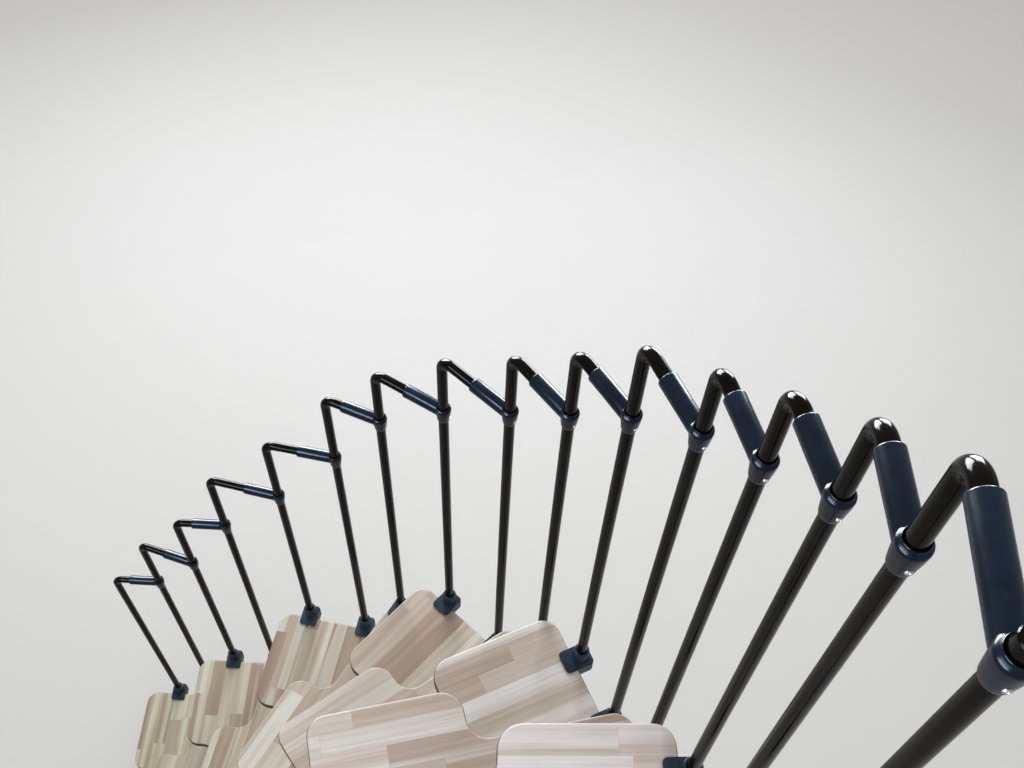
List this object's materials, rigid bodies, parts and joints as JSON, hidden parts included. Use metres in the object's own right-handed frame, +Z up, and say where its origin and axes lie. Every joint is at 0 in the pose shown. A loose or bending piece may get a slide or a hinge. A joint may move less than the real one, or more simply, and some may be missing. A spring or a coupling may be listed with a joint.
{
  "type": "space-saving stair",
  "caption": "Stair with alternating paddle treads on a jointed steel spine, straight below and winding a quarter turn above, with a stepped railing of bent tubes on its outer side.",
  "frame": {"origin": "middle of the floor flange's lower face, on the floor and on the axis of the lowest carrier tube", "axes": "+Z up; +X the way the first treads climb; +Y to the railing side, the left hand of a person who climbs"},
  "size_m": [1.7332, 1.1227, 3.804],
  "materials": {
    "tread_wood": "satin lacquer",
    "rail_tube": "gloss black",
    "joint_plastic": "satin black",
    "bracket_plastic": "satin black",
    "carrier_steel": "satin dark grey"
  },
  "bodies": {
    "root": {"floor_flange": "carrier_steel", "top_fixing": "carrier_steel", "carrier_01": "carrier_steel", "carrier_02": "carrier_steel", "carrier_03": "carrier_steel", "carrier_04": "carrier_steel", "carrier_05": "carrier_steel", "carrier_06": "carrier_steel", "carrier_07": "carrier_steel", "carrier_08": "carrier_steel", "carrier_09": "carrier_steel", "carrier_10": "carrier_steel", "carrier_11": "carrier_steel", "carrier_12": "carrier_steel", "tread_01": "tread_wood", "tread_02": "tread_wood", "tread_03": "tread_wood", "tread_04": "tread_wood", "tread_05": "tread_wood", "tread_06": "tread_wood", "tread_07": "tread_wood", "tread_08": "tread_wood", "tread_09": "tread_wood", "tread_10": "tread_wood", "tread_11": "tread_wood", "tread_12": "tread_wood", "baluster_01": "rail_tube", "baluster_02": "rail_tube", "baluster_03": "rail_tube", "baluster_04": "rail_tube", "baluster_05": "rail_tube", "baluster_06": "rail_tube", "baluster_07": "rail_tube", "baluster_08": "rail_tube", "baluster_09": "rail_tube", "baluster_10": "rail_tube", "baluster_11": "rail_tube", "baluster_12": "rail_tube", "baluster_13": "rail_tube", "baluster_14": "rail_tube", "baluster_15": "rail_tube", "baluster_16": "rail_tube", "rail_joints": "joint_plastic", "post_brackets": "bracket_plastic"}
  },
  "joints": []
}
